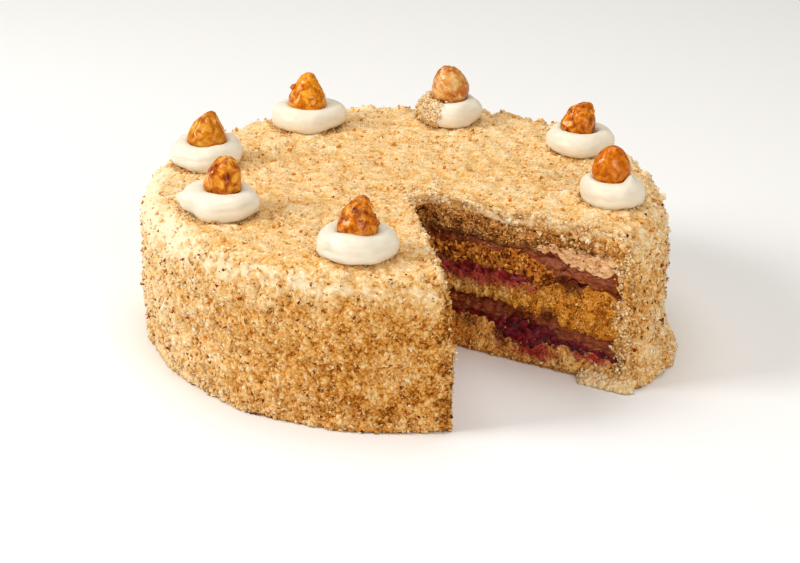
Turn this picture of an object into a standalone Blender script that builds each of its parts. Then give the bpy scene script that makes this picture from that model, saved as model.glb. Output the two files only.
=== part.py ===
# Nut cream torte with one slice taken out.
# Four sponges, two chocolate creams, two jams and a nut cream lie in a coat of cream and
# ground hazelnuts. Seven dollops of cream stand on top, each with a caramelised hazelnut.
#
# Metres, +Z up. The origin is on the cake's axis, at the level of its underside.
# Azimuths are degrees from +X, counterclockwise seen from above.

import math
import random

import bmesh
import bpy
from mathutils import Matrix, Vector, geometry, noise

MM = 0.001
GAP = 0.3 * MM  # air between two pieces that touch

# The whole cake
CAKE_RADIUS = 110.6 * MM
CAKE_HEIGHT = 65.6 * MM
SHOULDER_RADIUS = 8.5 * MM
SOFT_SHOULDER = 4.0 * MM  # the shoulder is this much rounder towards +X
SIDE_COAT = 3.0 * MM
OFF_ROUND = 0.8 * MM  # the outline is this much longer towards -X
CORNER_AZIMUTH = -37.0  # here the cut has squeezed the side out
CORNER_BULGE = 2.6 * MM
CORNER_SPREAD = 18.0

# The missing slice: two upright cuts that meet near the axis
CUT_APEX = Vector((1.3 * MM, -9.5 * MM))
RIGHT_CUT = -33.2
LEFT_CUT = -81.0
COAT_BRIDGE = 9.0 * MM  # the top coat still spans the cut's tip this far

# Ground nuts heaped against the foot: azimuth, spread in degrees, depth and height
FOOT_HEAPS = (
    (-22.0, 16.0, 7.0 * MM, 15.0 * MM),
    (178.0, 15.0, 5.5 * MM, 6.0 * MM),
    (-103.0, 16.0, 2.5 * MM, 8.0 * MM),
    (70.0, 30.0, 2.0 * MM, 7.0 * MM),
)
FOOT_SKIRT = 1.0 * MM  # the foot stands out this far all round
SKIRT_HEIGHT = 8.0 * MM
HEAP_WAVES = (0.6, 14.0 * MM)  # as a share of a heap's depth, and their size

# Relief of the coat, as height and size of its bumps
TOP_RIDGE = (0.5 * MM, 26.0 * MM)  # soft spatula marks that run round the top
TOP_LUMPS = (1.1 * MM, 22.0 * MM)
SIDE_WAVES = (1.6 * MM, 30.0 * MM)
SIDE_CRUMBS = (0.9 * MM, 9.0 * MM)
BELLY = 0.8 * MM
CREASE = {"azimuth": -100.0, "spread": 45.0, "height": 24.5 * MM, "width": 3.5 * MM, "depth": 1.3 * MM}
DENT = {"azimuth": -140.0, "spread": 7.0, "height": 23.0 * MM, "width": 9.0 * MM, "depth": 2.0 * MM}

# Layers
FILM = 0.6 * MM  # a filling never gets thinner than this
LAYER_WAVE = (0.7 * MM, 30.0 * MM)  # height and size of the waves in every face
WANDER = 5.0  # a lump's ring strays this many mm from a true circle
CRAG = (1.3 * MM, 6.0 * MM)  # how far a cut layer's edge stands in or out, and how fine

# Each face between two layers, from the base up: its height at the axis and at the rim, the
# radii between which it changes, and its lumps as radius, rise and width.
LAYER_FACES = (
    # base sponge and lower jam, pressed in by two large berries
    {"centre": 15.3, "rim": 9.8, "change": (44, 58),
     "lumps": ((57, -2.5, 3), (66, -4.2, 3), (91, 1.8, 5), (107, -1.3, 5))},
    # lower jam and lower chocolate cream
    {"centre": 17.3, "rim": 11.0, "change": (66, 106),
     "lumps": ((50, 1.0, 4), (66, 1.0, 4), (95, 1.2, 4))},
    # lower chocolate cream and the thick sponge
    {"centre": 25.5, "rim": 19.3, "change": (50, 92),
     "lumps": ((62, -1.4, 4), (77, 2.0, 5), (107, 0.8, 4))},
    # thick sponge and upper jam
    {"centre": 35.3, "rim": 36.3, "change": (60, 90),
     "lumps": ((35, -1.8, 4), (50, 1.6, 4), (59, -1.6, 4), (88, 4.3, 10))},
    # upper jam, which runs out, and the soaked sponge
    {"centre": 38.8, "rim": 34.0, "change": (62, 76), "lumps": ((38, -1.6, 4),)},
    # soaked sponge, which runs out, and upper chocolate cream
    {"centre": 47.4, "rim": 38.5, "change": (60, 88), "lumps": ((51, -1.4, 6),)},
    # upper chocolate cream and nut cream
    {"centre": 50.3, "rim": 46.3, "change": (80, 87),
     "lumps": ((59, -1.2, 5), (76, 0.6, 4), (110, 5.5, 5))},
    # nut cream, a ring in the outer third, and the top sponge
    {"centre": 49.0, "rim": 53.8, "change": (66, 74), "lumps": ((110, -4.0, 4),)},
    # top sponge and coat
    {"centre": 60.2, "rim": 58.6, "change": (30, 60), "lumps": ((112, -3.5, 6),)},
)

# name, colour, roughness, rows of points between the bottom and the top of the cut edge
LAYERS = (
    ("sponge_base", (0.56, 0.30, 0.09), 0.95, 2),
    ("jam_lower", (0.10, 0.008, 0.012), 0.25, 1),
    ("choc_cream_lower", (0.15, 0.055, 0.025), 0.5, 1),
    ("sponge_thick", (0.60, 0.34, 0.10), 0.95, 2),
    ("jam_upper", (0.13, 0.008, 0.012), 0.25, 1),
    ("sponge_soaked", (0.38, 0.17, 0.06), 0.95, 1),
    ("choc_cream_upper", (0.17, 0.065, 0.03), 0.5, 1),
    ("nut_cream", (0.50, 0.32, 0.19), 0.7, 1),
    ("sponge_top", (0.45, 0.27, 0.12), 0.95, 1),
)

# Fineness
RIM_STEPS = 34
MISSING_STEPS = 6
SIDE_ROWS = (0.0, 2.5, 6.0, 11.0, 17.0, 24.0, 32.0, 40.0, 48.0)  # heights in mm
SHOULDER_ROWS = 3
COAT_RIM_STEPS = 80
COAT_TOP_SPACING = 9.0 * MM
CUT_PLACES = (10, 19, 27, 34, 41, 48, 54, 60, 66, 72, 79, 86, 93, 100)  # mm along a cut
INNER_RINGS = ((80, 13), (50, 8), (22, 4))  # radius in mm, number of points
RING_START = 16.0  # degrees from each cut to the first point of a ring

# Cream dollops, each with a nut pressed into it. In mm and degrees: where the cream stands, its
# radius and height, the nut's radius and height, how far and which way it leans, and its place
# off the middle of the cream.
DOLLOPS = (
    {"azimuth": 162.0, "distance": 91.0, "radius": 16.6, "height": 9.5,
     "nut": (8.4, 16.0, 8, 20), "shift": (0.5, 0.0)},
    {"azimuth": 205.0, "distance": 84.6, "radius": 16.2, "height": 10.0,
     "nut": (7.9, 17.5, 8, 30), "shift": (2.0, 1.0)},
    {"azimuth": 256.7, "distance": 88.0, "radius": 16.4, "height": 10.5,
     "nut": (8.5, 18.5, 5, 0), "shift": (1.0, 0.5)},
    {"azimuth": 119.0, "distance": 91.0, "radius": 16.6, "height": 10.0,
     "nut": (8.9, 18.5, 4, 180), "shift": (-0.5, 0.0)},
    {"azimuth": 77.1, "distance": 89.5, "radius": 14.0, "height": 10.5,
     "nut": (8.6, 19.0, 6, 170), "shift": (-0.5, 0.5)},
    {"azimuth": 30.8, "distance": 88.6, "radius": 15.2, "height": 9.5,
     "nut": (7.3, 15.5, 14, 10), "shift": (0.3, 0.0)},
    {"azimuth": -15.0, "distance": 88.0, "radius": 13.8, "height": 10.0,
     "nut": (7.8, 18.0, 3, 0), "shift": (0.0, 0.5)},
)
# From the foot to the tip, as shares of the radius and of the height. A dollop's foot lies below
# the coat at first, and is cut to it.
DOLLOP_PROFILE = ((0.0, -0.6), (0.84, -0.6), (0.88, 0.0), (1.0, 0.34), (0.95, 0.68),
                  (0.80, 0.93), (0.62, 1.0), (0.40, 0.93), (0.0, 0.88))
NUT_PROFILE = ((0.0, 0.0), (0.55, 0.04), (0.90, 0.20), (1.0, 0.42), (0.86, 0.66), (0.52, 0.87), (0.0, 1.0))
DOLLOP_STEPS = 13
NUT_STEPS = 10
NUT_SUNK = 4.5 * MM  # how far a nut stands in its cream

# Larger pieces of nut on the coat
GRAIN_COUNT = 100
GRAIN_LARGEST = 2.2 * MM
GRAIN_SMALLEST = 1.3 * MM
GRAIN_SPACING = 15.0 * MM
GRAIN_MARGIN = 4.0 * MM  # kept clear round the cuts and the dollops
SHARE_ON_TOP = 0.42
MOST_TRIES = 20000
SEED = 11


def polar(radius, azimuth):
    angle = math.radians(azimuth)
    return Vector((radius * math.cos(angle), radius * math.sin(angle)))


def azimuth_of(place):
    return math.degrees(math.atan2(place.y, place.x))


def turn_between(azimuth, other):
    return (azimuth - other + 180.0) % 360.0 - 180.0


def smooth_step(value, low, high):
    share = min(max((value - low) / (high - low), 0.0), 1.0)
    return share * share * (3.0 - 2.0 * share)


def bell(distance, width):
    return math.exp(-(distance / width) ** 2)


def waves(bumps, x, y, z=0.0):
    # smooth bumps of one height and size in space
    height, size = bumps
    return height * noise.noise(Vector((x, y, z)) / size)


def rim_radius(azimuth):
    bulge = CORNER_BULGE * bell(turn_between(azimuth, CORNER_AZIMUTH), CORNER_SPREAD)
    return CAKE_RADIUS - OFF_ROUND * math.cos(math.radians(azimuth)) + bulge


def core_radius(azimuth):
    return rim_radius(azimuth) - SIDE_COAT


def along_cut(azimuth, distance):
    return CUT_APEX + polar(distance, azimuth)


def cut_length(azimuth):
    # from the apex along a cut to the core's outline
    low = 0.0
    high = 1.5 * CAKE_RADIUS
    for _ in range(40):
        middle = 0.5 * (low + high)
        place = along_cut(azimuth, middle)
        if place.length < core_radius(azimuth_of(place)):
            low = middle
        else:
            high = middle
    return low


def layer_heights(place):
    # Heights of all the faces between layers above one place, with the underside first. The
    # lumps are highest at the right cut and wander and shrink from there round the cake.
    radius = place.length / MM
    turn = math.radians(azimuth_of(place) - RIGHT_CUT)
    swing = 0.65 + 0.35 * math.cos(3.0 * turn)
    wander = WANDER * math.sin(2.0 * turn)
    heights = [0.0]
    for level, face in enumerate(LAYER_FACES):
        share = smooth_step(radius, *face["change"])
        height = face["centre"] + (face["rim"] - face["centre"]) * share
        for lump_radius, rise, width in face["lumps"]:
            height += rise * swing * bell(radius - lump_radius - wander, width)
        height = height * MM + waves(LAYER_WAVE, place.x, place.y, 0.2 * level)
        heights.append(max(height, heights[-1] + FILM + GAP))
    return heights


def plan_of_core():
    # One triangulation of the whole disc, with the cuts as fixed edges, serves every layer, so
    # that neighbours keep the same gap everywhere. It returns the points, the triangles of the
    # cake and those of the missing slice.
    right = [along_cut(RIGHT_CUT, step * MM) for step in CUT_PLACES]
    left = [along_cut(LEFT_CUT, step * MM) for step in CUT_PLACES]
    right.append(along_cut(RIGHT_CUT, cut_length(RIGHT_CUT)))
    left.append(along_cut(LEFT_CUT, cut_length(LEFT_CUT)))
    start = azimuth_of(right[-1])
    end = azimuth_of(left[-1]) + 360.0
    cake_arc = [start + (end - start) * step / RIM_STEPS for step in range(1, RIM_STEPS)]
    missing_turn = start + 360.0 - end
    missing_arc = [end + missing_turn * step / MISSING_STEPS for step in range(1, MISSING_STEPS)]

    points = [CUT_APEX] + right + left
    points += [polar(core_radius(azimuth), azimuth) for azimuth in cake_arc + missing_arc]
    last_right = len(right)
    last_left = last_right + len(left)
    first_arc = last_left + 1
    last_arc = first_arc + len(cake_arc) - 1
    ring = [last_right] + list(range(first_arc, last_arc + 1)) + [last_left]
    ring += list(range(last_arc + 1, len(points)))
    edges = [(ring[step], ring[(step + 1) % len(ring)]) for step in range(len(ring))]
    for first, last in ((1, last_right), (last_right + 1, last_left)):
        edges.append((0, first))
        edges += [(step, step + 1) for step in range(first, last)]

    for radius, count in INNER_RINGS:
        for step in range(count):
            azimuth = RIGHT_CUT + RING_START + (turn_of_cake() - 2.0 * RING_START) * step / (count - 1)
            points.append(polar(radius * MM, azimuth))
    found = geometry.delaunay_2d_cdt(points, edges, [], 1, 1e-7)
    places = [Vector(place) for place in found[0]]
    cake = []
    missing = []
    for triangle in found[2]:
        middle = sum((places[corner] for corner in triangle), Vector((0.0, 0.0))) / 3.0
        turn = (azimuth_of(middle - CUT_APEX) - RIGHT_CUT) % 360.0
        if turn < turn_of_cake():
            cake.append(triangle)
        else:
            missing.append(triangle)
    return places, cake, missing


def turn_of_cake():
    return (LEFT_CUT - RIGHT_CUT) % 360.0


def boundary_edges(triangles):
    # edges that one triangle alone uses, in that triangle's own direction
    used = set()
    for triangle in triangles:
        for step in range(3):
            used.add((triangle[step], triangle[(step + 1) % 3]))
    return sorted(edge for edge in used if (edge[1], edge[0]) not in used)


def new_object(name, bm, colour, roughness):
    bmesh.ops.recalc_face_normals(bm, faces=bm.faces)
    mesh = bpy.data.meshes.new(name)
    bm.to_mesh(mesh)
    bm.free()
    shape = bpy.data.objects.new(name, mesh)
    bpy.context.scene.collection.objects.link(shape)
    material = bpy.data.materials.new(name)
    material.use_nodes = True
    settings = material.node_tree.nodes["Principled BSDF"].inputs
    settings["Base Color"].default_value = (*colour, 1.0)
    settings["Roughness"].default_value = roughness
    mesh.materials.append(material)
    return shape


def slab(places, triangles, bottom, top, rows):
    # A closed solid over the triangles, from one list of heights to another. Rows of points
    # round its edge stand in or out where the edge is a cut.
    bm = bmesh.new()
    used = sorted({corner for triangle in triangles for corner in triangle})
    low = {}
    high = {}
    for corner in used:
        low[corner] = bm.verts.new((*places[corner], bottom[corner]))
        high[corner] = bm.verts.new((*places[corner], top[corner]))
    for triangle in triangles:
        bm.faces.new([high[corner] for corner in triangle])
        bm.faces.new([low[corner] for corner in reversed(triangle)])

    edges = boundary_edges(triangles)
    columns = {}
    for corner, _ in edges:
        columns[corner] = [low[corner]]
        for row in range(1, rows + 1):
            height = bottom[corner] + (top[corner] - bottom[corner]) * row / (rows + 1)
            out = cut_crag(places[corner], height)
            columns[corner].append(bm.verts.new((*(places[corner] + out), height)))
        columns[corner].append(high[corner])
    for first, second in edges:
        this, that = columns[first], columns[second]
        for row in range(rows + 1):
            bm.faces.new((this[row], that[row], that[row + 1], this[row + 1]))
    return bm


def cut_crag(place, height):
    # how far, and which way, a point of a cut face stands off the plane of the cut
    for azimuth, side in ((RIGHT_CUT, -1.0), (LEFT_CUT, 1.0)):
        along = polar(1.0, azimuth)
        across = Vector((-along.y, along.x)) * side
        step = place - CUT_APEX
        near_cut = abs(step.dot(across)) < 0.01 * MM and step.dot(along) > MM
        if near_cut and place.length < core_radius(azimuth_of(place)) - MM:
            return across * waves(CRAG, place.x, place.y, height)
    return Vector((0.0, 0.0))


def make_layers(places, cake):
    heights = [layer_heights(place) for place in places]
    for level, (name, colour, roughness, rows) in enumerate(LAYERS):
        lift = 0.5 * GAP if level else 0.0
        bottom = [faces[level] + lift for faces in heights]
        top = [faces[level + 1] - 0.5 * GAP for faces in heights]
        new_object(name, slab(places, cake, bottom, top, rows), colour, roughness)


def top_height(place):
    # the top with its spatula marks, level under each dollop
    depth, spacing = TOP_RIDGE
    around = 2.0 * math.radians(azimuth_of(place))
    ridge = depth * math.sin(2.0 * math.pi * place.length / spacing + around)
    ridge *= smooth_step(place.length, 10 * MM, 40 * MM)
    height = CAKE_HEIGHT + ridge + waves(TOP_LUMPS, place.x, place.y, 0.07)
    for dollop in DOLLOPS:
        away = (place - dollop_place(dollop)).length
        flat_to = dollop["radius"] * MM + 3.0 * MM
        near = 1.0 - smooth_step(away, flat_to, flat_to + 6.0 * MM)
        height += (CAKE_HEIGHT - height) * near
    return height


def shoulder_radius(azimuth):
    return SHOULDER_RADIUS + SOFT_SHOULDER * bell(turn_between(azimuth, 0.0), 50.0)


def foot_flare(azimuth, height):
    # how far the foot stands out, in a skirt all round and in the heaps
    flare = FOOT_SKIRT * (1.0 - smooth_step(height, 0.0, SKIRT_HEIGHT))
    for heap_azimuth, spread, depth, heap_height in FOOT_HEAPS:
        share = 1.0 - smooth_step(height, 0.0, heap_height)
        flare += depth * bell(turn_between(azimuth, heap_azimuth), spread) * share
    place = polar(CAKE_RADIUS, azimuth)
    return flare * (1.0 + waves(HEAP_WAVES, place.x, place.y, 3.0 * height))


def side_relief(azimuth, height):
    place = polar(CAKE_RADIUS, azimuth)
    relief = waves(SIDE_WAVES, place.x, place.y, 1.5 * height) + waves(SIDE_CRUMBS, place.x, place.y, height)
    relief += BELLY * math.sin(math.pi * height / CAKE_HEIGHT)
    for fold in (CREASE, DENT):
        along = bell(turn_between(azimuth, fold["azimuth"]), fold["spread"])
        relief -= fold["depth"] * along * bell(height - fold["height"], fold["width"])
    return relief


def side_point(azimuth, row):
    # radius and height of the coat at one row of points, up the side and over the shoulder
    round_off = shoulder_radius(azimuth)
    edge = rim_radius(azimuth) - round_off
    if row < len(SIDE_ROWS):
        height = GAP + SIDE_ROWS[row] * MM
        radius = edge + round_off + side_relief(azimuth, height) + foot_flare(azimuth, height)
        return radius, height
    angle = 0.5 * math.pi * (row - len(SIDE_ROWS)) / SHOULDER_ROWS
    height = top_height(polar(edge, azimuth)) - round_off * (1.0 - math.sin(angle))
    relief = side_relief(azimuth, height) * (1.0 - math.sin(angle))
    return edge + round_off * math.cos(angle) + relief, height


def coat_bulk(grow):
    # The whole cake as one block, before the slice is cut out. Grown by a small amount it
    # clears the room for what stands on it.
    bm = bmesh.new()
    rings = []
    for row in range(len(SIDE_ROWS) + SHOULDER_ROWS + 1):
        ring = []
        for step in range(COAT_RIM_STEPS):
            azimuth = 360.0 * step / COAT_RIM_STEPS
            radius, height = side_point(azimuth, row)
            ring.append(bm.verts.new((*polar(radius + grow, azimuth), height + grow)))
        rings.append(ring)
    for lower, upper in zip(rings, rings[1:]):
        for step in range(COAT_RIM_STEPS):
            after = (step + 1) % COAT_RIM_STEPS
            bm.faces.new((lower[step], lower[after], upper[after], upper[step]))
    bm.faces.new(list(reversed(rings[0])))
    cap_top(bm, rings[-1], grow)
    return bm


def cap_top(bm, ring, grow):
    # a staggered grid of points makes even triangles over the top
    points = [Vector(corner.co.xy) for corner in ring]
    edges = [(step, (step + 1) % len(ring)) for step in range(len(ring))]
    rows = int(CAKE_RADIUS / COAT_TOP_SPACING) + 1
    for row in range(-rows, rows + 1):
        for column in range(-rows, rows + 1):
            place = Vector((column + 0.5 * (row % 2), row * 0.866)) * COAT_TOP_SPACING
            azimuth = azimuth_of(place)
            edge = rim_radius(azimuth) - shoulder_radius(azimuth)
            if place.length < edge - 0.55 * COAT_TOP_SPACING:
                points.append(place)
    found = geometry.delaunay_2d_cdt(points, edges, [], 1, 1e-7)
    corners = []
    for place, originals in zip(found[0], found[3]):
        on_ring = [first for first in originals if first < len(ring)]
        if on_ring:
            corners.append(ring[on_ring[0]])
        else:
            corners.append(bm.verts.new((*place, top_height(place) + grow)))
    for triangle in found[2]:
        bm.faces.new([corners[corner] for corner in triangle])


def boolean(target, operation, cutter=None, collection=None):
    modifier = target.modifiers.new("boolean", "BOOLEAN")
    modifier.operation = operation
    modifier.solver = "EXACT"
    if collection:
        modifier.operand_type = "COLLECTION"
        modifier.collection = collection
    else:
        modifier.object = cutter
    for other in bpy.context.selected_objects:
        other.select_set(False)
    bpy.context.view_layer.objects.active = target
    target.select_set(True)
    bpy.ops.object.modifier_apply(modifier=modifier.name)


def remove(shapes):
    for shape in list(shapes):
        bpy.data.objects.remove(shape, do_unlink=True)


def slice_block():
    # the missing slice as a tall block, blunt at its tip where the coat still spans the cut
    far = 2.0 * CAKE_RADIUS
    outline = (along_cut(LEFT_CUT, COAT_BRIDGE), along_cut(LEFT_CUT, far),
               along_cut(RIGHT_CUT, far), along_cut(RIGHT_CUT, COAT_BRIDGE))
    bm = bmesh.new()
    low = [bm.verts.new((*place, -20 * MM)) for place in outline]
    high = [bm.verts.new((*place, 100 * MM)) for place in outline]
    bm.faces.new(list(reversed(low)))
    bm.faces.new(high)
    for step in range(4):
        after = (step + 1) % 4
        bm.faces.new((low[step], low[after], high[after], high[step]))
    return new_object("slice_block", bm, (1, 1, 1), 1)


def core_block(places, triangles):
    # all the layers as one block, grown by the gap at its side and top
    outline = {corner for edge in boundary_edges(triangles) for corner in edge}
    grown = []
    for corner, place in enumerate(places):
        reach = (place.length + GAP) / place.length if corner in outline else 1.0
        grown.append(place * reach)
    bottom = [-10 * MM] * len(places)
    top = [layer_heights(place)[-1] + 0.5 * GAP for place in places]
    return new_object("core_block", slab(grown, triangles, bottom, top, 0), (1, 1, 1), 1)


def make_coat(places, cake, missing):
    coat = new_object("nut_coat", coat_bulk(0.0), (0.62, 0.38, 0.15), 0.9)
    core = core_block(places, cake + missing)
    missing_slice = slice_block()
    boolean(coat, "DIFFERENCE", cutter=core)
    boolean(coat, "DIFFERENCE", cutter=missing_slice)
    remove((core, missing_slice))
    grains = make_grains()
    boolean(coat, "UNION", collection=grains)
    remove(grains.objects)
    bpy.data.collections.remove(grains)


def grain_place(draw):
    if draw.random() < SHARE_ON_TOP:
        radius = (CAKE_RADIUS - SHOULDER_RADIUS - SOFT_SHOULDER) * math.sqrt(draw.random())
        place = polar(radius, draw.uniform(0.0, 360.0))
        return Vector((*place, top_height(place))), Vector((0.0, 0.0, 1.0))
    azimuth = draw.uniform(0.0, 360.0)
    height = draw.uniform(5 * MM, CAKE_HEIGHT - shoulder_radius(azimuth) - MM)
    radius = rim_radius(azimuth) + side_relief(azimuth, height) + foot_flare(azimuth, height)
    return Vector((*polar(radius, azimuth), height)), Vector((*polar(1.0, azimuth), 0.0))


def grain_fits(place, placed):
    flat = place.xy
    turn = (azimuth_of(flat - CUT_APEX) - RIGHT_CUT) % 360.0
    if turn > turn_of_cake() and flat.length > COAT_BRIDGE:
        return False
    for azimuth in (RIGHT_CUT, LEFT_CUT):
        along = polar(1.0, azimuth)
        step = flat - CUT_APEX
        off = abs(step.x * along.y - step.y * along.x)
        if step.dot(along) > -GRAIN_MARGIN and off < GRAIN_MARGIN:
            return False
    for dollop in DOLLOPS:
        if (flat - dollop_place(dollop)).length < dollop["radius"] * MM + GRAIN_MARGIN:
            return False
    return all((place - other).length > GRAIN_SPACING for other in placed)


def make_grains():
    draw = random.Random(SEED)
    collection = bpy.data.collections.new("grains")
    bpy.context.scene.collection.children.link(collection)
    placed = []
    tries = 0
    while len(placed) < GRAIN_COUNT and tries < MOST_TRIES:
        tries += 1
        place, outward = grain_place(draw)
        if not grain_fits(place, placed):
            continue
        placed.append(place)
        share = len(placed) / GRAIN_COUNT
        size = GRAIN_LARGEST + (GRAIN_SMALLEST - GRAIN_LARGEST) * share
        bm = bmesh.new()
        bmesh.ops.create_icosphere(bm, subdivisions=1, radius=size)
        stretch = Vector((draw.uniform(0.8, 1.3), draw.uniform(0.8, 1.3), draw.uniform(0.6, 0.9)))
        facing = outward.to_track_quat("Z", "Y")
        for corner in bm.verts:
            corner.co = facing @ (corner.co * stretch * draw.uniform(0.85, 1.1)) + place
        grain = new_object("grain", bm, (1, 1, 1), 1)
        bpy.context.scene.collection.objects.unlink(grain)
        collection.objects.link(grain)
    return collection


def dollop_place(dollop):
    return polar(dollop["distance"] * MM, dollop["azimuth"])


def scaled(profile, radius, height):
    return [(across * radius, up * height) for across, up in profile]


def turned_solid(profile, steps, swell):
    # a closed solid from a profile of radius and height, from its foot to its tip, whose
    # radius swells with the angle
    bm = bmesh.new()
    rings = []
    for radius, height in profile[1:-1]:
        ring = []
        for step in range(steps):
            angle = 2.0 * math.pi * step / steps
            reach = radius * swell(angle, height)
            ring.append(bm.verts.new((reach * math.cos(angle), reach * math.sin(angle), height)))
        rings.append(ring)
    foot = bm.verts.new((0.0, 0.0, profile[0][1]))
    tip = bm.verts.new((0.0, 0.0, profile[-1][1]))
    for step in range(steps):
        after = (step + 1) % steps
        bm.faces.new((foot, rings[0][after], rings[0][step]))
        for lower, upper in zip(rings, rings[1:]):
            bm.faces.new((lower[step], lower[after], upper[after], upper[step]))
        bm.faces.new((rings[-1][step], rings[-1][after], tip))
    return bm


def make_dollop(number, dollop):
    # a low ring of cream that a nut has pressed open; its foot is cut to the coat later
    radius = dollop["radius"] * MM
    height = dollop["height"] * MM
    draw = random.Random(SEED + number)
    phase = draw.uniform(0.0, 6.0)
    oval = draw.uniform(0.03, 0.07)

    def swell(angle, _):
        return 1.0 + oval * (math.cos(2.0 * angle + phase) + 0.5 * math.cos(3.0 * angle + 2.0 * phase))

    bm = turned_solid(scaled(DOLLOP_PROFILE, radius, height), DOLLOP_STEPS, swell)
    for corner in bm.verts:
        corner.co += Vector((*dollop_place(dollop), CAKE_HEIGHT))
    return new_object("dollop_%d" % number, bm, (0.86, 0.80, 0.68), 0.45)


def nut_bm(number, dollop, grow):
    # a hazelnut is round below and pointed above, with soft dents under its caramel
    radius = dollop["nut"][0] * MM
    height = dollop["nut"][1] * MM
    draw = random.Random(100 + SEED * number)
    phase = draw.uniform(0.0, 6.0)

    def swell(angle, level):
        twist = phase + level / (3 * MM)
        return 1.0 + 0.05 * (math.cos(2.0 * angle + phase) + math.cos(5.0 * angle + twist))

    bm = turned_solid(scaled(NUT_PROFILE, radius, height), NUT_STEPS, swell)
    middle = Vector((0.0, 0.0, 0.5 * height))
    lean = math.radians(dollop["nut"][2])
    way = math.radians(dollop["nut"][3])
    axis = Vector((-math.sin(way), math.cos(way), 0.0))
    foot = CAKE_HEIGHT + dollop["height"] * MM - NUT_SUNK
    for corner in bm.verts:
        step = corner.co - middle
        corner.co = middle + step * (1.0 + grow / radius)
    bmesh.ops.rotate(bm, cent=middle, matrix=Matrix.Rotation(lean, 3, axis), verts=bm.verts)
    place = dollop_place(dollop) + Vector(dollop["shift"]) * MM
    bmesh.ops.translate(bm, vec=Vector((*place, foot)), verts=bm.verts)
    return bm


def make_toppings():
    coat_clearance = new_object("coat_clearance", coat_bulk(GAP), (1, 1, 1), 1)
    for number, dollop in enumerate(DOLLOPS, 1):
        cream = make_dollop(number, dollop)
        nut_clearance = new_object("nut_clearance", nut_bm(number, dollop, 1.3 * GAP), (1, 1, 1), 1)
        boolean(cream, "DIFFERENCE", cutter=coat_clearance)
        boolean(cream, "DIFFERENCE", cutter=nut_clearance)
        remove((nut_clearance,))
        new_object("hazelnut_%d" % number, nut_bm(number, dollop, 0.0), (0.45, 0.17, 0.03), 0.3)
    remove((coat_clearance,))


def build():
    for shape in list(bpy.data.objects):
        bpy.data.objects.remove(shape, do_unlink=True)
    places, cake, missing = plan_of_core()
    make_layers(places, cake)
    make_coat(places, cake, missing)
    make_toppings()


build()
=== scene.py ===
# Looks of the nut cream torte: crumb coat, cut layers, cream dollops and caramelised hazelnuts.
import math

import bpy
import numpy as np
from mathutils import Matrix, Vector, noise


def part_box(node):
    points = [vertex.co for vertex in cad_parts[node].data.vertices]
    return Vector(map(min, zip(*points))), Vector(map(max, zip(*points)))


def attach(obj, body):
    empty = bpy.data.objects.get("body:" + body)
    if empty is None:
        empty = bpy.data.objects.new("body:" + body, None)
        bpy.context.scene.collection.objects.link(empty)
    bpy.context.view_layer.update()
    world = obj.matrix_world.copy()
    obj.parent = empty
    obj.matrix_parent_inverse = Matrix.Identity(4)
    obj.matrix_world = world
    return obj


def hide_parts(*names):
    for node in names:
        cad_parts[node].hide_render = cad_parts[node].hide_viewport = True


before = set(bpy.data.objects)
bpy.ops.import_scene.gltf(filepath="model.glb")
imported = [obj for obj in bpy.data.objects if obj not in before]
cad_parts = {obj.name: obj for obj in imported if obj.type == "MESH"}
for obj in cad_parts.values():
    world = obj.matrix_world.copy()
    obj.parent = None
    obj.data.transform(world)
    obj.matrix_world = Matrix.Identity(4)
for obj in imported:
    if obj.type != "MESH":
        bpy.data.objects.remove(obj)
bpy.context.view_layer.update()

mm = 0.001

# Where the slice was taken out: two upright cuts from one tip near the axis, each at its azimuth
cutTip = np.array((1.3 * mm, -9.5 * mm))
cuts = {"right": -33.2, "left": -81.0}
cutThickness = 1.6 * mm


def newObject(name, data):
    thing = bpy.data.objects.new(name, data)
    bpy.context.scene.collection.objects.link(thing)
    return thing


def selectOnly(piece):
    bpy.ops.object.select_all(action="DESELECT")
    piece.select_set(True)
    bpy.context.view_layer.objects.active = piece


def leaveEdit():
    bpy.ops.object.mode_set(mode="OBJECT")


def editAll(piece):
    selectOnly(piece)
    bpy.ops.object.mode_set(mode="EDIT")
    bpy.ops.mesh.select_all(action="SELECT")


def editFaces(piece, chosen):
    for parts in (piece.data.vertices, piece.data.edges):
        parts.foreach_set("select", np.zeros(len(parts), bool))
    piece.data.polygons.foreach_set("select", chosen)
    bpy.context.tool_settings.mesh_select_mode = (False, False, True)
    selectOnly(piece)
    bpy.ops.object.mode_set(mode="EDIT")


def copyOfNode(nodeName, pieceName):
    # a CAD node's mesh is loose triangles, so a copy of it is merged first
    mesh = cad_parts[nodeName].data.copy()
    mesh.name = pieceName
    mesh.materials.clear()
    piece = newObject(pieceName, mesh)
    editAll(piece)
    bpy.ops.mesh.remove_doubles(threshold=0.00001)
    leaveEdit()
    bpy.ops.mesh.customdata_custom_splitnormals_clear()
    return piece


def applyModifier(piece, kind, **settings):
    selectOnly(piece)
    modifier = piece.modifiers.new(kind.lower(), kind)
    for name, value in settings.items():
        setattr(modifier, name, value)
    bpy.ops.object.modifier_apply(modifier=modifier.name)


def readNumbers(items, name, width=3, kind=np.float32):
    # one property of all vertices, corners or faces, as rows of an array
    values = np.empty(len(items) * width, kind)
    items.foreach_get(name, values)
    return values.reshape(-1, width) if width > 1 else values


def readPoints(mesh):
    return readNumbers(mesh.vertices, "co").astype(float)


def readNormals(mesh):
    return readNumbers(mesh.vertex_normals, "vector").astype(float)


def writePoints(mesh, points):
    mesh.vertices.foreach_set("co", points.astype(np.float32).ravel())
    mesh.update()


def noiseAt(points, size, seed, kind=noise.noise):
    # smooth noise from about -1 to 1, or another kind of noise
    shift = Vector((seed, 1.7 * seed, -seed))
    return np.array([kind(Vector(point) / size + shift) for point in points.tolist()])


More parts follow.
